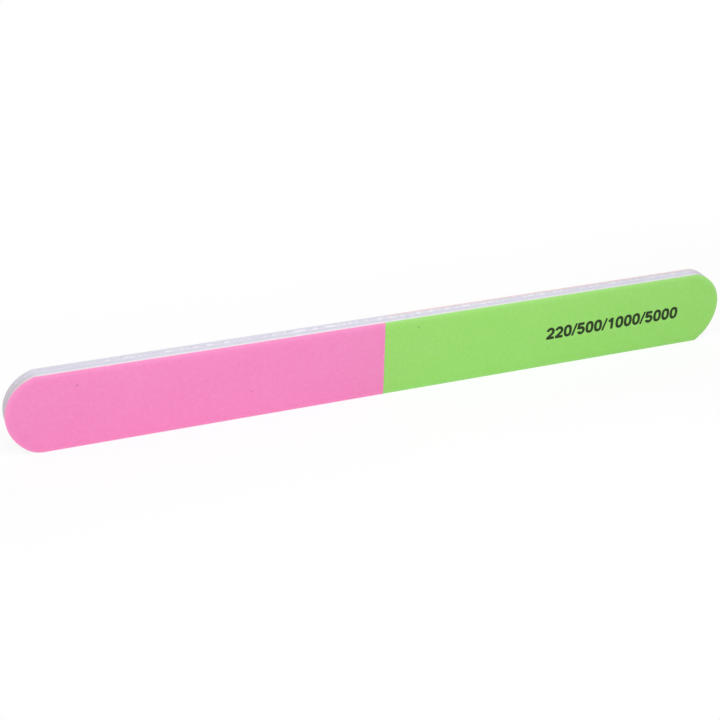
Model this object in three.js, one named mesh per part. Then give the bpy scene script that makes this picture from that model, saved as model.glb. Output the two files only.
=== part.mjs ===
// Cushioned nail buffer: a flat board of bonded sheets with round ends, standing on one long edge.
// Millimetres, +Z up. X runs along the board and Y through it, with the two-coloured face at -Y.
// The origin lies under the middle of the board, on the surface that it stands on.
import * as THREE from 'three';

// The outline that cuts all the sheets
const boardLength = 178;
const boardWidth = 19;
// Each end is an upper and a lower arc that meet at the tip. A radius is half the width plus its surplus.
const leftUpperSurplus = 0.35;
const leftLowerSurplus = 1.15;
const rightUpperSurplus = 0.3;
const rightLowerSurplus = 1.81;
// The lower left corner is rounded, with this radius inside the rolled rim and a wider one at the cut
const leftLowerCornerRadius = 4;
// The two skins of each face butt together here, measured along X from the middle of the board
const frontJointX = -2.1;
const backJointX = -0.35;

// Thicknesses at the rim, where the die has pressed the foam together
const coreThickness = 0.65;
const coreAdhesiveThickness = 0.05;
const skinAdhesiveThickness = 0.05;
const frontFoamThickness = 1.2;
const frontBackingThickness = 0.55;
const frontCoatThickness = 0.12;
const backFoamThickness = 0.25;
const backBackingThickness = 0.5;
const backCoatThickness = 0.15;

// Both faces roll over towards the rim: the middle stands crownRise higher, within crownWidth of the edge
const crownRise = 0.25;
const crownWidth = 2;

// Fineness of the curves
const arcSteps = 12;
const cornerSteps = 6;
const crownSteps = 3;

// Colour and roughness of each sheet
const finishes = {
  core: { color: 0xe6e5e9, roughness: 0.6 },
  adhesive: { color: 0xe2dfe7, roughness: 0.5 },
  foam: { color: 0xd9d7e5, roughness: 0.95 },
  whiteBacking: { color: 0xe5e3e4, roughness: 0.8 },
  greyBacking: { color: 0xd9d6e2, roughness: 0.8 },
  peachBacking: { color: 0xe5d1d2, roughness: 0.8 },
  pinkCoat: { color: 0xf389c2, roughness: 0.86 },
  greenCoat: { color: 0x98d86b, roughness: 0.86 },
  greyCoat: { color: 0xd2ccdb, roughness: 0.86 },
  peachCoat: { color: 0xe6c4c0, roughness: 0.86 },
};

const halfWidth = boardWidth / 2;

const materialOf = (finish) => new THREE.MeshStandardMaterial({ ...finish, metalness: 0 });

// Points of an arc, anticlockwise from one angle to another about its centre
function arcPoints(centreX, centreZ, radius, fromAngle, toAngle, steps) {
  const arc = new THREE.EllipseCurve(centreX, centreZ, radius, radius, fromAngle, toAngle);
  return arc.getPoints(steps);
}

// One arc of an end, drawn inset from the cut outline
function endArc(tipX, radius, inset, fromAngle, toAngle) {
  const centreX = tipX - Math.sign(tipX) * radius;
  return arcPoints(centreX, halfWidth, radius - inset, fromAngle, toAngle, arcSteps);
}

// Angle at which an inset arc meets the inset long edge
function cornerAngle(radius, inset) {
  return Math.asin((halfWidth - inset) / (radius - inset));
}

// The right end, anticlockwise from the front: lower arc, tip, upper arc
function rightEnd(inset) {
  const tipX = boardLength / 2;
  const lowerRadius = halfWidth + rightLowerSurplus;
  const upperRadius = halfWidth + rightUpperSurplus;
  const lower = endArc(tipX, lowerRadius, inset, -cornerAngle(lowerRadius, inset), 0);
  const upper = endArc(tipX, upperRadius, inset, 0, cornerAngle(upperRadius, inset));
  return [...lower, ...upper.slice(1)];
}

// The left end, the same way round: upper arc, tip, lower arc, rounded corner.
// The corner runs smoothly out of the lower arc into the long edge, so its centre is as far from the edge
// as its radius, and as far from the arc's centre as the two radii differ.
function leftEnd(inset) {
  const tipX = -boardLength / 2;
  const lowerRadius = halfWidth + leftLowerSurplus;
  const upperRadius = halfWidth + leftUpperSurplus;
  const cornerRadius = leftLowerCornerRadius + crownWidth;
  const drop = halfWidth - cornerRadius;
  const meetAngle = Math.PI + Math.asin(drop / (lowerRadius - cornerRadius));
  const cornerX = tipX + lowerRadius + (lowerRadius - cornerRadius) * Math.cos(meetAngle);
  const upper = endArc(tipX, upperRadius, inset, Math.PI - cornerAngle(upperRadius, inset), Math.PI);
  const lower = endArc(tipX, lowerRadius, inset, Math.PI, meetAngle);
  const straightDown = 1.5 * Math.PI;
  const corner = arcPoints(
    cornerX, cornerRadius, cornerRadius - inset, meetAngle, straightDown, cornerSteps);
  return [...upper, ...lower.slice(1), ...corner.slice(1)];
}

// A cut sheet is whole, or ends at the joint of its side
const wholeCut = { outline: (inset) => [...rightEnd(inset), ...leftEnd(inset)], closed: true };

function cutsAt(jointX) {
  const low = (inset) => new THREE.Vector2(jointX, inset);
  const high = (inset) => new THREE.Vector2(jointX, boardWidth - inset);
  return {
    whole: wholeCut,
    left: { outline: (inset) => [high(inset), ...leftEnd(inset), low(inset)], closed: false },
    right: { outline: (inset) => [low(inset), ...rightEnd(inset), high(inset)], closed: false },
  };
}

// How far across the rolled rim each ring of points lies: 0 at the cut edge, 1 where the flat begins.
// A flat surface needs the cut edge alone.
function ringShares(surface) {
  if (surface.crown === 0) return [0];
  return Array.from({ length: crownSteps + 1 }, (_, step) => step / crownSteps);
}

// Adds the rings of points of one surface and gives back their numbers, from the cut edge inwards
function addRings(positions, cut, surface) {
  return ringShares(surface).map((share) => {
    const y = surface.rimY + surface.crown * (1 - (1 - share) ** 2);
    return cut.outline(share * crownWidth).map((point) => {
      positions.push(point.x, y, point.y);
      return positions.length / 3 - 1;
    });
  });
}

// Triangles between two rows of points, of which the first lies to the right of the way along them
function strip(first, second) {
  const triangles = [];
  for (let i = 0; i + 1 < first.length; i++) {
    triangles.push([first[i], first[i + 1], second[i + 1]]);
    triangles.push([first[i], second[i + 1], second[i]]);
  }
  return triangles;
}

const alongEdge = (ring, closed) => (closed ? [...ring, ring[0]] : ring);

// The rolled rim and the flat middle of a surface, facing -Y
function faceTriangles(cut, rings) {
  const triangles = [];
  for (let k = 0; k + 1 < rings.length; k++) {
    triangles.push(...strip(alongEdge(rings[k], cut.closed), alongEdge(rings[k + 1], cut.closed)));
  }
  const inner = rings[rings.length - 1];
  const middle = cut.outline(rings.length > 1 ? crownWidth : 0);
  for (const corners of THREE.ShapeUtils.triangulateShape(middle, [])) {
    triangles.push(corners.map((corner) => inner[corner]));
  }
  return triangles;
}

// The points of a surface along the joint, from the outline's last point to its first
function jointProfile(rings) {
  const last = rings.map((ring) => ring[ring.length - 1]);
  const first = rings.map((ring) => ring[0]);
  return [...last, ...first.reverse()];
}

// One sheet between a front and a back surface
function sheetGeometry(cut, front, back) {
  const positions = [];
  const frontRings = addRings(positions, cut, front);
  const backRings = addRings(positions, cut, back);
  const triangles = [
    ...faceTriangles(cut, frontRings),
    ...faceTriangles(cut, backRings).map(([a, b, c]) => [a, c, b]),
    ...strip(alongEdge(backRings[0], cut.closed), alongEdge(frontRings[0], cut.closed)),
  ];
  if (!cut.closed) triangles.push(...strip(jointProfile(backRings), jointProfile(frontRings)));
  const geometry = new THREE.BufferGeometry();
  geometry.setAttribute('position', new THREE.Float32BufferAttribute(positions, 3));
  geometry.setIndex(triangles.flat());
  geometry.computeVertexNormals();
  return geometry;
}

function addSheet(board, name, cut, front, back, material) {
  const sheet = new THREE.Mesh(sheetGeometry(cut, front, back), material);
  sheet.name = name;
  board.add(sheet);
}

// Lays the sheets of one side on the core, from the core outwards: -1 is outward at the front, 1 at the back
function addSide(board, side, coreFace) {
  let inner = coreFace;
  for (const layer of side.layers) {
    const outer = {
      rimY: inner.rimY + side.outward * layer.thickness,
      crown: layer.crowned ? side.outward * crownRise : 0,
    };
    const [front, back] = side.outward < 0 ? [outer, inner] : [inner, outer];
    for (const [cutName, material] of Object.entries(layer.materials)) {
      const place = cutName === 'whole' ? side.name : `${side.name}_${cutName}`;
      addSheet(board, `${place}_${layer.name}`, side.cuts[cutName], front, back, material);
    }
    inner = outer;
  }
}

function sideLayers(foamThickness, backingThickness, coatThickness, skins) {
  const glue = materialOf(finishes.adhesive);
  const foam = materialOf(finishes.foam);
  const glueHalves = { left: glue, right: glue };
  return [
    { name: 'core_adhesive', thickness: coreAdhesiveThickness, materials: { whole: glue } },
    { name: 'foam_cushion', thickness: foamThickness, crowned: true, materials: { whole: foam } },
    { name: 'skin_adhesive', thickness: skinAdhesiveThickness, crowned: true, materials: glueHalves },
    { name: 'backing_sheet', thickness: backingThickness, crowned: true, materials: skins.backing },
    { name: 'grit_coat', thickness: coatThickness, crowned: true, materials: skins.coat },
  ];
}

const frontSkins = {
  backing: { left: materialOf(finishes.whiteBacking), right: materialOf(finishes.whiteBacking) },
  coat: { left: materialOf(finishes.pinkCoat), right: materialOf(finishes.greenCoat) },
};

const backSkins = {
  backing: { left: materialOf(finishes.greyBacking), right: materialOf(finishes.peachBacking) },
  coat: { left: materialOf(finishes.greyCoat), right: materialOf(finishes.peachCoat) },
};

const frontSide = {
  name: 'front',
  outward: -1,
  cuts: cutsAt(frontJointX),
  layers: sideLayers(frontFoamThickness, frontBackingThickness, frontCoatThickness, frontSkins),
};

const backSide = {
  name: 'back',
  outward: 1,
  cuts: cutsAt(backJointX),
  layers: sideLayers(backFoamThickness, backBackingThickness, backCoatThickness, backSkins),
};

const rimThickness = (side) => side.layers.reduce((sum, layer) => sum + layer.thickness, 0);

// The whole stack is centred on Y, so the core lies where the thinner back leaves it
const stackThickness = rimThickness(frontSide) + coreThickness + rimThickness(backSide);
const coreFront = { rimY: rimThickness(frontSide) - stackThickness / 2, crown: 0 };
const coreBack = { rimY: coreFront.rimY + coreThickness, crown: 0 };

const board = new THREE.Group();
board.name = 'nail_buffer';
addSheet(board, 'core_strip', wholeCut, coreFront, coreBack, materialOf(finishes.core));
addSide(board, frontSide, coreFront);
addSide(board, backSide, coreBack);

export default board;
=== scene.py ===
import math

import bmesh
import bpy
from mathutils import Matrix, Vector, noise


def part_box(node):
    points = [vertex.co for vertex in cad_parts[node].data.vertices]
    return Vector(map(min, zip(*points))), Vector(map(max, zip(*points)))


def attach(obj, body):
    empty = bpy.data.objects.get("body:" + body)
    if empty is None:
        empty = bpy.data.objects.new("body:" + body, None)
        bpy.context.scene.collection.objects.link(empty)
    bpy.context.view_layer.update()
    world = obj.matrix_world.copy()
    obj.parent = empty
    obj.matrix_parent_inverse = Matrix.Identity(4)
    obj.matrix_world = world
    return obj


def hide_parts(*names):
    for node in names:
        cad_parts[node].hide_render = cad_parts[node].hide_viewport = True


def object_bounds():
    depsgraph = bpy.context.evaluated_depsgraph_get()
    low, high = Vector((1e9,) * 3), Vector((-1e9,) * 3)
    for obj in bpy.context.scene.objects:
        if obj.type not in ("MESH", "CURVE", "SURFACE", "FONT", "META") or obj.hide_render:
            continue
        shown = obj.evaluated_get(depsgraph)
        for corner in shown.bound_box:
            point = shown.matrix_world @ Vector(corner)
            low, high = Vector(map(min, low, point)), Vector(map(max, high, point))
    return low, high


# The board stands on a long edge: X along it, the two-coloured front at -Y, metres throughout
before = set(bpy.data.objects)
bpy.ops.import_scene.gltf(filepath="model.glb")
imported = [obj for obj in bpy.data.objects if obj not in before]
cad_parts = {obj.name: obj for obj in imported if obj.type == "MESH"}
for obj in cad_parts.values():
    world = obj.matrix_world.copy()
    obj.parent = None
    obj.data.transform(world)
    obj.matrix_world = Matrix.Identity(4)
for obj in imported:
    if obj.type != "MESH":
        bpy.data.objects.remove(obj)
cadLow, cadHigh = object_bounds()
halfWidth = (cadHigh.z - cadLow.z) / 2
middleZ = (cadHigh.z + cadLow.z) / 2
mm = 0.001
front = -1  # the way out of the board on each side, along Y
back = 1
scene = bpy.context.scene
scene.view_settings.view_transform = "Standard"
print("frame loaded,", len(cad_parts), "sheets")


# How the lens sees the board: first turned about its middle, then set off from the lens
cameraView = {
    "yaw": 21.193,  # degrees
    "pitch": 29.347,
    "roll": -1.502,
    "middleY": 0.06 * mm,
    "aside": 6.94 * mm,
    "ahead": 317.22 * mm,
    "above": 1.45 * mm,
    "lens": 67.417,  # millimetres, as Blender's cameras take them
    "sensor": 36,
    "nearest": 10 * mm,  # what is closer to the lens isn't drawn
}


def placeCamera(view):
    lens = bpy.data.cameras.new("lens")
    lens.sensor_width = view["sensor"]
    lens.lens = view["lens"]
    lens.clip_start = view["nearest"]
    camera = bpy.data.objects.new("camera", lens)
    scene.collection.objects.link(camera)
    turn = Matrix.Rotation(math.radians(-view["roll"]), 4, "Y")
    turn @= Matrix.Rotation(math.radians(view["pitch"]), 4, "X")
    turn @= Matrix.Rotation(math.radians(view["yaw"]), 4, "Z")
    middle = Matrix.Translation((0, view["middleY"], middleZ))
    away = Matrix.Translation((-view["aside"], -view["ahead"], -view["above"]))
    lookAlongY = Matrix.Rotation(math.radians(90), 4, "X")
    camera.matrix_world = middle @ turn.inverted() @ away @ lookAlongY
    scene.camera = camera


placeCamera(cameraView)
print("camera placed")


# A node socket that Python can reckon with
class Wire:
    def __init__(self, tree, socket=None):
        self.tree = tree
        self.socket = socket

    # adds any node: its settings first, then the values or links of its sockets
    def node(self, kind, settings, sockets, output=0):
        made = self.tree.nodes.new(kind)
        for name, value in settings.items():
            setattr(made, name, value)
        for name, value in sockets.items():
            if isinstance(value, Wire):
                self.tree.links.new(value.socket, made.inputs[name])
            else:
                made.inputs[name].default_value = value
        return Wire(self.tree, made.outputs[output] if made.outputs else None)

    def reckon(self, operation, first, second):
        return self.node("ShaderNodeMath", {"operation": operation}, {0: first, 1: second})

    def __add__(self, other):
        return self.reckon("ADD", self, other)

    def __radd__(self, other):
        return self.reckon("ADD", other, self)

    def __sub__(self, other):
        return self.reckon("SUBTRACT", self, other)

    def __rsub__(self, other):
        return self.reckon("SUBTRACT", other, self)

    def __mul__(self, other):
        return self.reckon("MULTIPLY", self, other)

    def __rmul__(self, other):
        return self.reckon("MULTIPLY", other, self)

    def clamped(self):
        return self.node("ShaderNodeClamp", {}, {"Value": self})

    # this value fades from one colour to the other
    def fade(self, fromColour, toColour):
        return self.node("ShaderNodeMix", {"data_type": "RGBA"}, {0: self, 6: fromColour, 7: toColour}, 2)

    # 0 below the first limit, 1 above the second, smooth between
    def between(self, low, high):
        settings = {"interpolation_type": "SMOOTHSTEP"}
        sockets = {"Value": self, "From Min": low, "From Max": high}
        return self.node("ShaderNodeMapRange", settings, sockets)


# A colour as it is read off a screen, for a node's socket
def screen(red, green, blue):
    linear = [((c / 255 + 0.055) / 1.055) ** 2.4 if c > 10 else c / 255 / 12.92 for c in (red, green, blue)]
    return (*linear, 1)


# a share of white taken into a colour, or out of it where the share is negative
def whiten(colour, share):
    return (*(max(0, c + share * (1 - c)) for c in colour[:3]), 1)


def startMaterial(name):
    material = bpy.data.materials.new(name)
    material.use_nodes = True
    material.node_tree.nodes.clear()
    return material, Wire(material.node_tree)


def place(wire):
    return wire.node("ShaderNodeTexCoord", {}, {}, "Object")


def stretched(wire, where, scale):
    return wire.node("ShaderNodeMapping", {}, {"Vector": where, "Scale": scale})


noiseMiddle = 0.5  # the value that noise varies about


# noise whose lumps are about one size across
def lumps(wire, where, size, detail=2):
    return wire.node("ShaderNodeTexNoise", {}, {"Vector": where, "Scale": 1 / size, "Detail": detail})


def relief(wire, height, depth):
    return wire.node("ShaderNodeBump", {}, {"Height": height, "Distance": depth, "Strength": 1})


speckCore = 0.4  # share of a speck's radius that is dark all over, before it fades out


# lays round specks of dirt over a colour
def speckled(wire, where, shade, specks):
    for speck in specks:
        spot = wire.node("ShaderNodeVectorMath", {"operation": "DISTANCE"}, {0: where, 1: speck["at"]}, 1)
        cover = (1 - spot.between(speckCore * speck["size"], speck["size"])) * speck["strength"]
        shade = cover.fade(shade, speck["colour"])
    return shade


# Painted shade: the cut edges are painted darker and warmer round the ends than along the straight sides, for
# the light that falls off there
endShade = {
    "early": (79 * mm, 86 * mm),  # where the painted shade begins and is full, both ways from the middle
    "late": (83 * mm, 88.5 * mm),
    "share": 0.2,
    "colour": screen(196, 156, 140),
}


# darkens a cut edge's colour with painted shade towards the ends of the board
def shadedTowardEnds(wire, where, shade, start):
    along = wire.node("ShaderNodeSeparateXYZ", {}, {"Vector": where}, "X")
    onEnd = wire.reckon("ABSOLUTE", along, 0).between(*endShade[start])
    return (onEnd * endShade["share"]).fade(shade, endShade["colour"])


def finishMaterial(wire, sockets):
    shader = wire.node("ShaderNodeBsdfPrincipled", {}, sockets)
    wire.node("ShaderNodeOutputMaterial", {}, {"Surface": shader})


# Grit coats: mineral grain in a matte resin, paler where the rim stretched it and brighter there with a
# painted highlight where the rolled rim meets the light, with a few caught specks
gritLook = {
    "grain": 0.2 * mm,
    "grainDetail": 3,
    "mottle": 0.6 * mm,
    "cloud": 11 * mm,
    "grainWeight": 1.1,
    "mottleWeight": 1,
    "cloudWeight": 0.25,
    "paleShare": 0.06,  # how much white the palest grain takes in
    "rimGlow": 1.05,  # painted highlight: the rolled rim is painted this much brighter
    "rimShare": 0.065,  # and the stretched rim takes in this much white
    "roughness": 0.86,
    "roughnessSpread": 0.12,
    "relief": 0.012 * mm,
}


def gritMaterial(name, colour, specks=()):
    material, wire = startMaterial(name)
    where = place(wire)
    grain = lumps(wire, where, gritLook["grain"], gritLook["grainDetail"])
    mottle = lumps(wire, where, gritLook["mottle"])
    cloud = lumps(wire, where, gritLook["cloud"])
    tone = (grain - noiseMiddle) * gritLook["grainWeight"]
    tone = tone + (mottle - noiseMiddle) * gritLook["mottleWeight"]
    tone = (tone + (cloud - noiseMiddle) * gritLook["cloudWeight"] + noiseMiddle).clamped()
    # the rim's colour: paler where the coat stretched, and brighter with a painted highlight
    rimPaleAndLitColour = whiten([c * gritLook["rimGlow"] for c in colour], gritLook["rimShare"])
    spread = gritLook["paleShare"]
    flat, rolled = (tone.fade(whiten(c, -spread), whiten(c, spread)) for c in (colour, rimPaleAndLitColour))
    rim = wire.node("ShaderNodeAttribute", {"attribute_name": "rim"}, {}, "Fac")
    paleAndHighlightMask = rim * rim * rim  # the stretched paleness and the painted highlight are strongest at the cut, and fade fast
    shade = speckled(wire, where, paleAndHighlightMask.fade(flat, rolled), specks)
    finishMaterial(wire, {
        "Base Color": shade,
        "Roughness": gritLook["roughness"] + (grain - noiseMiddle) * gritLook["roughnessSpread"],
        "Normal": relief(wire, grain, gritLook["relief"]),
    })
    return material


# Backing sheets: pale film, cut clean, with faint lines along the cut
backingLook = {
    "streak": 0.09 * mm,
    "streakLength": 14,  # a streak is this many times as long as wide
    "streakDetail": 3,
    "streakFade": (0.3, 0.7),  # the noise between which the dark tone turns into the pale one
    "paleShare": 0.15,  # how much white a pale streak takes in
    "roughness": 0.8,
    "relief": 0.008 * mm,
}


def backingMaterial(name, colour, endShadeStart):
    material, wire = startMaterial(name)
    where = place(wire)
    shorten = 1 / backingLook["streakLength"]
    drawnOut = stretched(wire, where, (shorten, 1, shorten))
    streak = lumps(wire, drawnOut, backingLook["streak"], backingLook["streakDetail"])
    share = backingLook["paleShare"]
    pale = streak.between(*backingLook["streakFade"])
    shade = pale.fade(whiten(colour, -share), whiten(colour, share))
    finishMaterial(wire, {
        # painted shade towards the ends
        "Base Color": shadedTowardEnds(wire, where, shade, endShadeStart),
        "Roughness": backingLook["roughness"],
        "Normal": relief(wire, streak, backingLook["relief"]),
    })
    return material


# Foam: lavender, with cut cells whose pits are darkened with painted shade
foamLook = {
    "colour": screen(217, 215, 229),
    "pitShadeColour": screen(197, 194, 211),
    "cell": 0.19 * mm,
    "pitShadeFade": (0.15, 0.6),  # painted shade: a cut cell's pit is dark up to the first distance from its middle, pale from the next
    "patch": 2.4 * mm,  # cut cells come in patches
    "patchFade": (0.3, 0.75),
    "roughness": 0.95,
    "relief": 0.03 * mm,
}


def foamMaterial(name, specks=()):
    material, wire = startMaterial(name)
    where = place(wire)
    cells = wire.node("ShaderNodeTexVoronoi", {}, {"Vector": where, "Scale": 1 / foamLook["cell"]})
    patch = lumps(wire, where, foamLook["patch"])
    # painted shade in the pits of the cut cells, in patches
    pit = (1 - cells.between(*foamLook["pitShadeFade"])) * patch.between(*foamLook["patchFade"])
    shade = speckled(wire, where, pit.fade(foamLook["colour"], foamLook["pitShadeColour"]), specks)
    finishMaterial(wire, {
        # painted shade towards the ends
        "Base Color": shadedTowardEnds(wire, where, shade, "early"),
        "Roughness": foamLook["roughness"],
        "Normal": relief(wire, cells, foamLook["relief"]),
    })
    return material


# Core: white plastic that tore here and there under the die, so its edge is white flecks in foam dust
coreLook = {
    "white": screen(229, 228, 232),
    "dust": screen(221, 219, 229),
    "knifeMark": 0.16 * mm,
    "markStretch": (1, 0.15, 1),  # the marks run through the thickness
    "markDetail": 3,
    "markWeight": 0.4,
    "fleckFade": (0.15, 0.85),
    "roughness": 0.55,
    "roughnessSpread": 0.3,
    "relief": 0.02 * mm,
}


def coreMaterial(name):
    material, wire = startMaterial(name)
    where = place(wire)
    fleck = wire.node("ShaderNodeAttribute", {"attribute_name": "fleck"}, {}, "Fac")
    drawnOut = stretched(wire, where, coreLook["markStretch"])
    marks = lumps(wire, drawnOut, coreLook["knifeMark"], coreLook["markDetail"])
    white = (fleck + (marks - noiseMiddle) * coreLook["markWeight"]).between(*coreLook["fleckFade"])
    finishMaterial(wire, {
        # painted shade towards the ends
        "Base Color": shadedTowardEnds(wire, where, white.fade(coreLook["dust"], coreLook["white"]), "late"),
        "Roughness": coreLook["roughness"] + (1 - white) * coreLook["roughnessSpread"],
        "Normal": relief(wire, marks, coreLook["relief"]),
    })
    return material


# Adhesive films: clear, so they take the tone of what they hold, with dust in the cut
adhesiveLook = {
    "colour": screen(226, 223, 231),
    "dust": screen(206, 201, 216),
    "patch": 0.7 * mm,
    "patchDetail": 4,
    "dustFade": (0.4, 0.7),
    "roughness": 0.42,
    "roughnessSpread": 0.35,
}


def adhesiveMaterial(name):
    material, wire = startMaterial(name)
    patch = lumps(wire, place(wire), adhesiveLook["patch"], adhesiveLook["patchDetail"])
    dust = patch.between(*adhesiveLook["dustFade"])
    finishMaterial(wire, {
        "Base Color": dust.fade(adhesiveLook["colour"], adhesiveLook["dust"]),
        "Roughness": adhesiveLook["roughness"] + dust * adhesiveLook["roughnessSpread"],
    })
    return material


# Ink: black, a little broken where the grain comes through
inkLook = {
    "colour": screen(43, 57, 34),
    "thin": screen(70, 93, 52),
    "grain": 0.13 * mm,
    "grainDetail": 3,
    "thinFade": (0.5, 0.75),  # where the grain is this high, the ink thins out
    "roughness": 0.7,
    "shine": 0.15,
    "relief": 0.006 * mm,
}


def inkMaterial(name):
    material, wire = startMaterial(name)
    grain = lumps(wire, place(wire), inkLook["grain"], inkLook["grainDetail"])
    thin = grain.between(*inkLook["thinFade"])
    finishMaterial(wire, {
        "Base Color": thin.fade(inkLook["colour"], inkLook["thin"]),
        "Roughness": inkLook["roughness"],
        "Specular IOR Level": inkLook["shine"],
        "Normal": relief(wire, grain, inkLook["relief"]),
    })
    return material


# The die's outline. Each end is two arcs that meet at the tip, of half the width plus a surplus as radius
boardCut = {
    "surplus": {
        "leftUpper": 0.35 * mm,
        "leftLower": 1.15 * mm,
        "rightUpper": 0.3 * mm,
        "rightLower": 1.81 * mm,
    },
    "roundCorner": {"leftLower": 6 * mm},  # radius at the cut, where a corner isn't sharp
    "arcSpacing": 0.35 * mm,
    "crownWidth": 2 * mm,  # how far in from the cut the faces roll over
    "crownSteps": 8,
    "weld": 0.0005 * mm,  # points closer than this are one
    "sharpAngle": 30,  # degrees, over which an edge shades sharp
}
jointX = {front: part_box("front_left_grit_coat")[1].x, back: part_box("back_left_grit_coat")[1].x}


# The die's line, or one drawn inside it: a vertex swings round each arc from the tip, and the ends are tied
def traceLine(bm, y, spacing, longCuts=0, inset=0):
    known = set(bm.edges)
    corners = {}
    for end, tipX, away in (("left", cadLow.x, -1), ("right", cadHigh.x, 1)):
        for half, upward in (("Lower", -1), ("Upper", 1)):
            radius = halfWidth + boardCut["surplus"][end + half]
            corner = boardCut["roundCorner"].get(end + half, 0)
            cutSwing = math.asin((halfWidth - corner) / (radius - corner))
            swing = cutSwing if corner else math.asin((halfWidth - inset) / (radius - inset))
            way = -away * upward
            centre = Vector((tipX - away * radius, y, middleZ))
            tip = bm.verts.new((tipX - away * inset, y, middleZ))
            arc = bmesh.ops.spin(
                bm, geom=[tip], cent=centre, axis=(0, 1, 0), angle=way * swing,
                steps=math.ceil(radius * cutSwing / spacing))
            if corner:
                rest = math.pi / 2 - swing
                centre.x += away * (radius - corner) * math.cos(swing)
                centre.z += upward * (halfWidth - corner)
                arc = bmesh.ops.spin(
                    bm, geom=arc["geom_last"], cent=centre, axis=(0, 1, 0), angle=way * rest,
                    steps=math.ceil(corner * rest / spacing))
            corners[end + half] = arc["geom_last"][0]
    longEdges = [
        bm.edges.new((corners["left" + half], corners["right" + half])) for half in ("Lower", "Upper")
    ]
    if longCuts:
        bmesh.ops.subdivide_edges(bm, edges=longEdges, cuts=longCuts)
    # a dictionary keeps their order, so that every run welds alike
    drawn = dict.fromkeys(v for edge in bm.edges if edge not in known for v in edge.verts)
    bmesh.ops.remove_doubles(bm, verts=list(drawn), dist=boardCut["weld"])
    return [edge for edge in bm.edges if edge not in known]


# One surface of a sheet. Lines drawn further and further in climb a parabola up to the flat, so the rim
# rolls over, and each vertex keeps how near the cut it lies.
def makeSurface(bm, rimY, spacing, longCuts=0, climb=0):
    rim = bm.verts.layers.float.new("rim")
    lines = []
    for step in range(boardCut["crownSteps"] + 1 if climb else 1):
        share = step / boardCut["crownSteps"]
        y = rimY + climb * (1 - (1 - share) ** 2)
        lines.append(traceLine(bm, y, spacing, longCuts, share * boardCut["crownWidth"]))
        for edge in lines[-1]:
            for v in edge.verts:
                v[rim] = 1 - share
    for outer, inner in zip(lines, lines[1:]):
        bmesh.ops.bridge_loops(bm, edges=outer + inner)
    bmesh.ops.edgeloop_fill(bm, edges=lines[-1])


# Keeps the half that lies on one side of the joint: -1 is left, 1 is right
def cutAtJoint(bm, outward, keep):
    everything = bm.verts[:] + bm.edges[:] + bm.faces[:]
    bmesh.ops.bisect_plane(
        bm, geom=everything, plane_co=(jointX[outward], 0, 0), plane_no=(keep, 0, 0), clear_inner=True)


# Gives a surface its thickness along Y and returns the vertices of the new surface
def thicken(bm, depth):
    grown = bmesh.ops.extrude_face_region(bm, geom=bm.faces[:])
    verts = [v for v in grown["geom"] if isinstance(v, bmesh.types.BMVert)]
    bmesh.ops.translate(bm, vec=(0, depth, 0), verts=verts)
    return verts


# Makes the finished piece, which stands for its CAD sheet
def finishSheet(bm, name, node, material):
    bmesh.ops.remove_doubles(bm, verts=bm.verts[:], dist=boardCut["weld"])
    bmesh.ops.recalc_face_normals(bm, faces=bm.faces[:])
    for face in bm.faces:
        face.smooth = True
    for edge in bm.edges:
        edge.smooth = edge.calc_face_angle(0) < math.radians(boardCut["sharpAngle"])
    mesh = bpy.data.meshes.new(name)
    bm.to_mesh(mesh)
    bm.free()
    mesh.materials.append(material)
    piece = bpy.data.objects.new(name, mesh)
    scene.collection.objects.link(piece)
    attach(piece, "root")
    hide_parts(node)
    return piece


# How far the middle of a face stands out beyond its rim: a coat starts at the rim of its backing, and the
# backing's middle reaches further out than that
crownRise = {
    front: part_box("front_left_grit_coat")[1].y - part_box("front_left_backing_sheet")[0].y,
    back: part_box("back_left_backing_sheet")[1].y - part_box("back_left_grit_coat")[0].y,
}


# The y of a rolled sheet's inner and outer surface at the cut edge
def sheetPlace(node, outward):
    low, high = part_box(node)
    if outward == front:
        return high.y, low.y + crownRise[front]
    return low.y, high.y - crownRise[back]


# Skins: a coat, its backing and the adhesive under it follow the same rolled outline and end at the joint
skinCut = {
    "rimBevel": 0.03 * mm,  # the die rounds the coat's edge
    "bevelSegments": 2,
    "inkRoom": 0.01 * mm,  # the front coats lie this far under the face, where the ink comes up to
}


# Rounds the sharp edges of a coat that lie as far out as its rim, or further
def bevelRim(bm, outerRimY, outward):
    rim = [
        edge for edge in bm.edges
        if edge.calc_face_angle(0) > math.radians(boardCut["sharpAngle"])
        and all((v.co.y - outerRimY) * outward > -boardCut["weld"] for v in edge.verts)
    ]
    bmesh.ops.bevel(
        bm, geom=rim, offset=skinCut["rimBevel"], affect="EDGES", segments=skinCut["bevelSegments"],
        profile=0.5, material=-1)


def makeSkin(name, node, outward, keep, material, coat=False):
    bm = bmesh.new()
    innerY, outerY = sheetPlace(node, outward)
    lowered = skinCut["inkRoom"] if coat and outward == front else 0
    makeSurface(bm, outerY, boardCut["arcSpacing"], climb=outward * (crownRise[outward] - lowered))
    cutAtJoint(bm, outward, keep)
    thicken(bm, innerY - outerY)
    if coat:
        bmesh.ops.recalc_face_normals(bm, faces=bm.faces[:])
        bevelRim(bm, outerY, outward)
    finishSheet(bm, name, node, material)


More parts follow.
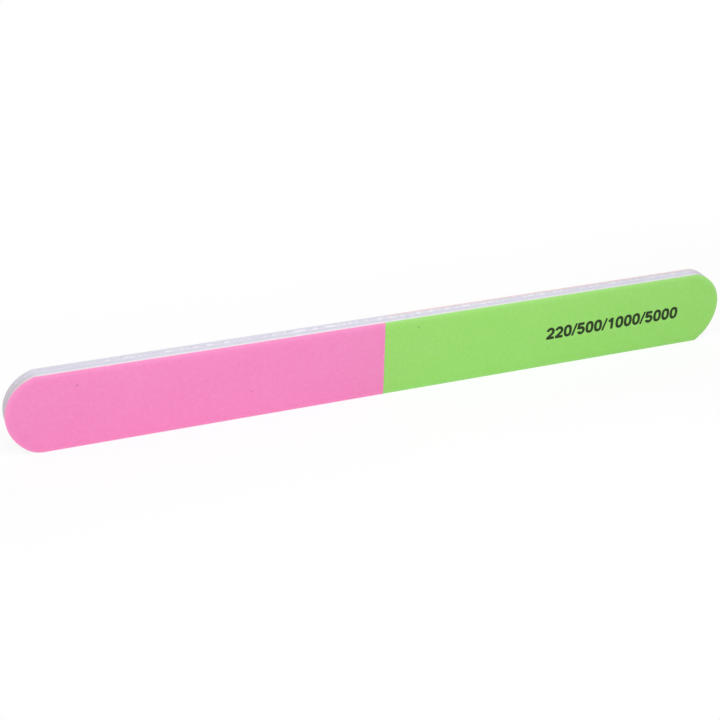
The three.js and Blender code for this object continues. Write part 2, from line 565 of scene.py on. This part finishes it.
speckPink = screen(160, 80, 114)
speckGreen = screen(80, 96, 60)
coatY = cadLow.y + skinCut["inkRoom"]
pinkSpecks = [
    {"at": (-73.1 * mm, coatY, 15.5 * mm), "size": 0.34 * mm, "strength": 0.4, "colour": speckPink},
    {"at": (-34.3 * mm, coatY, 6.8 * mm), "size": 0.3 * mm, "strength": 0.35, "colour": speckPink},
    {"at": (-38.6 * mm, coatY, 8.2 * mm), "size": 0.26 * mm, "strength": 0.2, "colour": speckPink},
    {"at": (-45.4 * mm, coatY, 12.8 * mm), "size": 0.26 * mm, "strength": 0.15, "colour": speckPink},
]
greenSpecks = [
    {"at": (6.2 * mm, coatY, 16.6 * mm), "size": 0.3 * mm, "strength": 0.45, "colour": speckGreen},
    {"at": (-1.4 * mm, coatY, 15.5 * mm), "size": 0.26 * mm, "strength": 0.2, "colour": speckGreen},
    {"at": (44.2 * mm, coatY, 18.8 * mm), "size": 0.3 * mm, "strength": 0.5, "colour": speckGreen},
]
coats = {
    "pink_grit": gritMaterial("pinkGrit", screen(243, 137, 194), pinkSpecks),
    "green_grit": gritMaterial("greenGrit", screen(152, 216, 107), greenSpecks),
    "grey_grit": gritMaterial("greyGrit", screen(210, 204, 219)),
    "peach_grit": gritMaterial("peachGrit", screen(230, 196, 192)),
}
# a white backing takes a little of its coat's colour in
backings = {
    "pink_grit": backingMaterial("pinkishBacking", screen(236, 226, 232), "early"),
    "green_grit": backingMaterial("greenishBacking", screen(222, 227, 222), "early"),
    "grey_grit": backingMaterial("greyBacking", screen(217, 214, 226), "late"),
    "peach_grit": backingMaterial("peachBacking", screen(229, 209, 210), "late"),
}
clearFilm = adhesiveMaterial("clearFilm")
skins = [
    {"side": "front", "half": "left", "coat": "pink_grit", "backing": "white_backing"},
    {"side": "front", "half": "right", "coat": "green_grit", "backing": "white_backing"},
    {"side": "back", "half": "left", "coat": "grey_grit", "backing": "grey_backing"},
    {"side": "back", "half": "right", "coat": "peach_grit", "backing": "peach_backing"},
]
for skin in skins:
    outward = front if skin["side"] == "front" else back
    keep = -1 if skin["half"] == "left" else 1
    node = skin["side"] + "_" + skin["half"]
    name = skin["side"] + skin["half"].capitalize()
    makeSkin(
        name + "Coat", node + "_grit_coat", outward, keep, coats[skin["coat"]], coat=True)
    makeSkin(
        name + "Backing", node + "_backing_sheet", outward, keep, backings[skin["coat"]])
    makeSkin(name + "Adhesive", node + "_skin_adhesive", outward, keep, clearFilm)
print("skins made:", len(skins))


# Splits the cut wall of a sheet into rows and returns the new vertices between them
def splitWall(bm, inner, rows):
    innerVerts = set(inner)
    wall = [e for e in bm.edges if len(innerVerts.intersection(e.verts)) == 1]
    split = bmesh.ops.subdivide_edges(bm, edges=wall, cuts=rows - 1, use_grid_fill=True)
    return {v for v in split["geom_inner"] if isinstance(v, bmesh.types.BMVert)}


# Core and the films on it: flat sheets. The core's edge lies back where no fleck stands out of it.
coreCut = {
    "spacing": 0.2 * mm,  # of vertices round the ends
    "longCuts": 800,  # vertices along each long edge
    "rows": 4,
    "ragged": 0.1 * mm,  # how far the edge lies back between flecks
    "fleck": 0.85 * mm,
    "fleckAcross": 1.4 * mm,
    "stretch": 7 * mm,  # flecks come and go along the edge
    "blur": 0.34,  # how soft a fleck's outline is
    "crowding": 0.3,  # how much more there are where they crowd
    "bias": 0.03,  # more flecks everywhere
    "cleanTo": -77 * mm,  # no flecks left of this, all of them right of the next
    "tornFrom": -66 * mm,
    "fadeFrom": 40 * mm,  # they grow fainter from here to the right end
    "fadeShare": 0.4,
}


# 0 below the first limit, 1 above the second, straight between
def ramp(value, low, high):
    return min(1, max(0, (value - low) / (high - low)))


# How white the core is at a point, from 0 in foam dust to 1 on a fleck
def fleckAt(point):
    length, across = coreCut["fleck"], coreCut["fleckAcross"]
    beat = noise.noise(Vector((point.x / length, point.y / across, point.z / length)))
    crowd = noise.noise(point / coreCut["stretch"])
    fleck = ramp(beat + coreCut["crowding"] * crowd + coreCut["bias"], 0, coreCut["blur"])
    torn = ramp(point.x, coreCut["cleanTo"], coreCut["tornFrom"])
    faint = coreCut["fadeShare"] * ramp(point.x, coreCut["fadeFrom"], cadHigh.x)
    return fleck * torn * (1 - faint)


def makeCore(material):
    bm = bmesh.new()
    low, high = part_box("core_strip")
    makeSurface(bm, low.y, coreCut["spacing"], coreCut["longCuts"])
    inner = thicken(bm, high.y - low.y)
    splitWall(bm, inner, coreCut["rows"])
    bmesh.ops.recalc_face_normals(bm, faces=bm.faces[:])
    fleckLayer = bm.verts.layers.float.new("fleck")
    moves = []
    for v in bm.verts:
        fleck = fleckAt(v.co)
        v[fleckLayer] = fleck
        outOfCut = Vector((v.normal.x, 0, v.normal.z)).normalized()
        moves.append((v, outOfCut * coreCut["ragged"] * (1 - fleck)))
    for v, move in moves:
        v.co -= move
    finishSheet(bm, "coreStrip", "core_strip", material)


def makeFlatFilm(name, node, material):
    bm = bmesh.new()
    low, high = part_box(node)
    makeSurface(bm, low.y, boardCut["arcSpacing"])
    thicken(bm, high.y - low.y)
    finishSheet(bm, name, node, material)


makeCore(coreMaterial("tornCore"))
for side in ("front", "back"):
    makeFlatFilm(side + "CoreAdhesive", side + "_core_adhesive", clearFilm)
print("core and its films made")


# Foam cushions: crowned outside, flat on the core, drawn in a little at the cut where the die pinched them
foamCut = {
    "spacing": 0.3 * mm,
    "longCuts": 530,
    "rows": 6,
    "pinch": 0.05 * mm,
    "pit": 0.04 * mm,
    "pitSlope": 1.6,  # how fast a pit gets shallower away from the middle of its cell
    "cell": 0.32 * mm,
    "fill": 0.85,
}


def makeFoam(side, outward, material):
    bm = bmesh.new()
    node = side + "_foam_cushion"
    innerY, outerY = sheetPlace(node, outward)
    makeSurface(bm, outerY, foamCut["spacing"], foamCut["longCuts"], outward * crownRise[outward])
    inner = thicken(bm, innerY - outerY)
    bmesh.ops.scale(bm, vec=(1, 0, 1), space=Matrix.Translation((0, -innerY, 0)), verts=inner)
    rowVerts = splitWall(bm, inner, foamCut["rows"])
    bmesh.ops.recalc_face_normals(bm, faces=bm.faces[:])
    bm.normal_update()
    moves = []
    for v in rowVerts:
        share = (v.co.y - innerY) / (outerY - innerY)
        distance = noise.voronoi(v.co / foamCut["cell"])[0][0]
        pinch = foamCut["pinch"] * math.sin(math.pi * share)
        pit = foamCut["pit"] * (1 - min(1, foamCut["pitSlope"] * distance))
        moves.append((v, v.normal * (pinch + pit)))
    for v, move in moves:
        v.co -= move
    piece = finishSheet(bm, side + "Foam", node, material)


foamSpecks = [
    {"at": (4 * mm, -0.6 * mm, cadHigh.z), "size": 0.3 * mm, "strength": 0.6, "colour": screen(90, 88, 96)},
]
cutFoam = foamMaterial("cutFoam", foamSpecks)
makeFoam("front", front, cutFoam)
makeFoam("back", back, cutFoam)
print("foam cushions made")


# A line of plain numbers, printed on the green coat. A pen of even width draws each figure in one or two
# strokes, in a box of height 1 that stands on the middle of its foot. Nibs, steps and weld are in heights.
printLine = {
    "numbers": "220/500/1000/5000",
    "left": 40.3 * mm,
    "right": 77.2 * mm,
    "low": 7.4 * mm,
    "high": 10.83 * mm,
    "tilt": 0.3,  # degrees, up to the right
    "sunk": 0.005 * mm,  # how far the ink reaches into the coat
    "nib": 0.245,
    "slashNib": 0.185,
    "step": 0.79,  # from one figure to the next
    "slashStep": 0.43,
    "bendStep": 12,  # degrees
    "weld": 0.0001,
}


# The arcs of an upright oval, flatter on the flanks, from its rightmost point up and all the way round
def ovalMoves(halfWide, halfHigh, crownRadius):
    lift = halfHigh - crownRadius
    flank = 2 * math.atan((halfWide - crownRadius) / lift)
    flankRadius = crownRadius + lift / math.sin(flank)
    half = [("bend", flankRadius, math.degrees(flank)), ("bend", crownRadius, 180 - 2 * math.degrees(flank))]
    half.append(half[0])
    return half + half


# A stroke's moves: ahead by a length, a bend of a radius (under 0 to the right) and an angle, a sharp corner
figures = {
    "0": [{"start": (0.25, 0.5), "heading": 90, "moves": ovalMoves(0.25, 0.42, 0.225)}],
    "1": [
        {"start": (0.08, 0), "heading": 90, "moves": [("ahead", 1)]},
        {"start": (-0.22, 0.67), "heading": 40, "moves": [("ahead", 0.36)]},
    ],
    "2": [
        {"start": (-0.25, 0.68), "heading": 85, "moves": [("bend", -0.25, 222), ("ahead", 0.575)]},
        {"start": (-0.345, 0.09), "heading": 0, "moves": [("ahead", 0.69)]},
    ],
    "5": [
        {"start": (0.28, 0.91), "heading": 180, "moves": [("ahead", 0.47), ("corner", 84), ("ahead", 0.47)]},
        {"start": (-0.217, 0.4575), "heading": 60, "moves": [("bend", -0.25, 312)]},
    ],
    "/": [{"start": (-0.18, -0.03), "heading": 71, "moves": [("ahead", 1.12)]}],
}


# Draws a stroke by moving the pen's nib, an edge across the way ahead
def drawStroke(bm, stroke, foot, width):
    at = Vector((foot + stroke["start"][0], stroke["start"][1], 0))
    turn = Matrix.Rotation(math.radians(stroke["heading"]), 3, "Z")
    nib = bm.edges.new([bm.verts.new(at + turn @ Vector((0, side * width / 2, 0))) for side in (1, -1)])
    for move, size, *bend in stroke["moves"]:
        ahead, left = turn.col[0].copy(), turn.col[1].copy()
        swing = Matrix.Identity(3)
        if move == "ahead":
            grown = bmesh.ops.extrude_edge_only(bm, edges=[nib])["geom"]
            nib = next(part for part in grown if isinstance(part, bmesh.types.BMEdge))
            for v in nib.verts:
                v.co = at + left * (v.co - at).dot(left) + ahead * size
            at += ahead * size
        elif move == "corner":
            swing = Matrix.Rotation(math.radians(size), 3, "Z")
            for v in nib.verts:
                v.co -= ahead * (v.co - at).dot(left) * math.tan(math.radians(size) / 2)
        else:
            centre = at + left * size
            angle = math.copysign(math.radians(bend[0]), size)
            swung = bmesh.ops.spin(
                bm, geom=[nib, *nib.verts], cent=centre, axis=(0, 0, 1), angle=angle,
                steps=math.ceil(bend[0] / printLine["bendStep"]))
            nib = next(part for part in swung["geom_last"] if isinstance(part, bmesh.types.BMEdge))
            swing = Matrix.Rotation(angle, 3, "Z")
            at = centre + swing @ (at - centre)
        turn = swing @ turn


# The first strokes of all the figures, or their second ones, in a slab of thickness 1
def drawLine(strokeNumber):
    bm = bmesh.new()
    x = 0
    for figure in printLine["numbers"]:
        width, step = ("slashNib", "slashStep") if figure == "/" else ("nib", "step")
        for stroke in figures[figure][strokeNumber:strokeNumber + 1]:
            drawStroke(bm, stroke, x + printLine[step] / 2, printLine[width])
        x += printLine[step]
    bmesh.ops.remove_doubles(bm, verts=bm.verts[:], dist=printLine["weld"])
    grown = bmesh.ops.extrude_face_region(bm, geom=bm.faces[:])
    top = [v for v in grown["geom"] if isinstance(v, bmesh.types.BMVert)]
    bmesh.ops.translate(bm, vec=(0, 0, 1), verts=top)
    bmesh.ops.recalc_face_normals(bm, faces=bm.faces[:])
    mesh = bpy.data.meshes.new("strokes")
    bm.to_mesh(mesh)
    bm.free()
    drawn = bpy.data.objects.new("strokes", mesh)
    scene.collection.objects.link(drawn)
    return drawn


# Joins the strokes, stretches the line to its size and stands it on the green coat
def makePrint(material):
    first, second = drawLine(0), drawLine(1)
    join = first.modifiers.new("join", "BOOLEAN")
    join.operation = "UNION"
    join.object = second
    bpy.context.view_layer.update()
    mesh = bpy.data.meshes.new_from_object(first.evaluated_get(bpy.context.evaluated_depsgraph_get()))
    bpy.data.objects.remove(first)
    bpy.data.objects.remove(second)
    mesh.name = "printedNumbers"
    bm = bmesh.new()
    bm.from_mesh(mesh)
    bmesh.ops.remove_doubles(bm, verts=bm.verts[:], dist=printLine["weld"])
    bmesh.ops.triangulate(bm, faces=bm.faces[:])
    low = Vector([min(v.co[axis] for v in bm.verts) for axis in range(3)])
    high = Vector([max(v.co[axis] for v in bm.verts) for axis in range(3)])
    thickness = skinCut["inkRoom"] + printLine["sunk"]
    size = Vector((printLine["right"] - printLine["left"], printLine["high"] - printLine["low"], thickness))
    scale = Matrix.Diagonal([size[axis] / (high[axis] - low[axis]) for axis in range(3)]).to_4x4()
    corner = Vector((printLine["left"], cadLow.y + thickness, printLine["low"]))
    upright = Matrix.Rotation(math.radians(90), 4, "X")
    tilt = Matrix.Rotation(math.radians(-printLine["tilt"]), 4, "Y")
    bmesh.ops.transform(
        bm, matrix=Matrix.Translation(corner) @ tilt @ upright @ scale @ Matrix.Translation(-low),
        verts=bm.verts[:])
    bm.to_mesh(mesh)
    bm.free()
    mesh.materials.clear()
    mesh.materials.append(material)
    piece = bpy.data.objects.new("printedNumbers", mesh)
    scene.collection.objects.link(piece)
    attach(piece, "root")


makePrint(inkMaterial("blackInk"))
print("numbers printed")


# Studio: a pale floor that looks white and keeps a soft shadow, light all round and a broad key
studio = {
    "floorSize": 6,  # metres
    "floorDrop": 0.02 * mm,
    "floorColour": (0.95, 0.95, 0.95, 1),
    "seenFloorColour": (1, 1, 1, 1),
    "shadowShare": 0.17,  # how much of the floor's own light and shade the camera sees near the board
    "shadowX": (110 * mm, 170 * mm),  # it fades out between these distances from the middle
    "shadowY": (30 * mm, 80 * mm),
    "roomColour": (1, 1, 1, 1),
    "roomStrength": 0.4,
}
# degrees about the middle of the board, azimuth 0 in front and 90 on the right, and metres
lamps = [
    {"name": "keyLight", "azimuth": -5, "elevation": 57, "distance": 0.29, "radius": 0.19, "level": 0.57},
    {"name": "leftLight", "azimuth": -75, "elevation": 25, "distance": 0.6, "radius": 0.35, "level": 0.11},
    {"name": "backLight", "azimuth": 165, "elevation": 20, "distance": 0.7, "radius": 0.22, "level": 0.28},
]


# 1 for what the lens sees straight on, mirrored or through glass
def seen(wire):
    rays = [
        wire.node("ShaderNodeLightPath", {}, {}, name)
        for name in ("Is Camera Ray", "Is Glossy Ray", "Is Transmission Ray")
    ]
    return (rays[0] + rays[1] + rays[2]).clamped()


# 1 near the board, fading to 0 away from it along one axis
def nearBoard(wire, axis, fade):
    apart = wire.node("ShaderNodeSeparateXYZ", {}, {"Vector": place(wire)}, axis)
    return 1 - wire.reckon("ABSOLUTE", apart, 0).between(*fade)


def makeFloor():
    bm = bmesh.new()
    bmesh.ops.create_grid(bm, x_segments=1, y_segments=1, size=studio["floorSize"] / 2)
    bmesh.ops.translate(bm, vec=(0, 0, cadLow.z - studio["floorDrop"]), verts=bm.verts[:])
    mesh = bpy.data.meshes.new("floor")
    bm.to_mesh(mesh)
    bm.free()
    material, wire = startMaterial("paleFloor")
    inView = seen(wire)
    near = nearBoard(wire, "X", studio["shadowX"]) * nearBoard(wire, "Y", studio["shadowY"])
    floorColour = inView.fade(studio["floorColour"], studio["seenFloorColour"])
    lit = wire.node("ShaderNodeBsdfDiffuse", {}, {"Color": floorColour})
    white = wire.node("ShaderNodeEmission", {}, {"Color": studio["seenFloorColour"], "Strength": 1})
    surface = wire.node(
        "ShaderNodeMixShader", {}, {0: inView * (1 - near * studio["shadowShare"]), 1: lit, 2: white})
    wire.node("ShaderNodeOutputMaterial", {}, {"Surface": surface})
    mesh.materials.append(material)
    floor = bpy.data.objects.new("floor", mesh)
    scene.collection.objects.link(floor)


def lightRoom():
    room = bpy.data.worlds.new("room")
    room.use_nodes = True
    room.node_tree.nodes.clear()
    wire = Wire(room.node_tree)
    light = wire.node(
        "ShaderNodeBackground", {}, {"Color": studio["roomColour"], "Strength": studio["roomStrength"]})
    white = wire.node("ShaderNodeBackground", {}, {"Color": studio["roomColour"], "Strength": 1})
    surface = wire.node("ShaderNodeMixShader", {}, {0: seen(wire), 1: light, 2: white})
    wire.node("ShaderNodeOutputWorld", {}, {"Surface": surface})
    scene.world = room


# A lamp's level is what it adds to a white surface that faces it at the middle of the board
def hangLamp(lamp):
    light = bpy.data.lights.new(lamp["name"], "AREA")
    light.shape = "DISK"
    light.size = 2 * lamp["radius"]
    light.energy = lamp["level"] * math.pi ** 2 * (lamp["radius"] ** 2 + lamp["distance"] ** 2)
    hung = bpy.data.objects.new(lamp["name"], light)
    hung.visible_camera = False
    turn = Matrix.Translation((0, 0, middleZ)) @ Matrix.Rotation(math.radians(lamp["azimuth"]), 4, "Z")
    turn @= Matrix.Rotation(math.radians(90 - lamp["elevation"]), 4, "X")
    hung.matrix_world = turn @ Matrix.Translation((0, 0, lamp["distance"]))
    scene.collection.objects.link(hung)


makeFloor()
lightRoom()
for lamp in lamps:
    hangLamp(lamp)
print("studio lit")
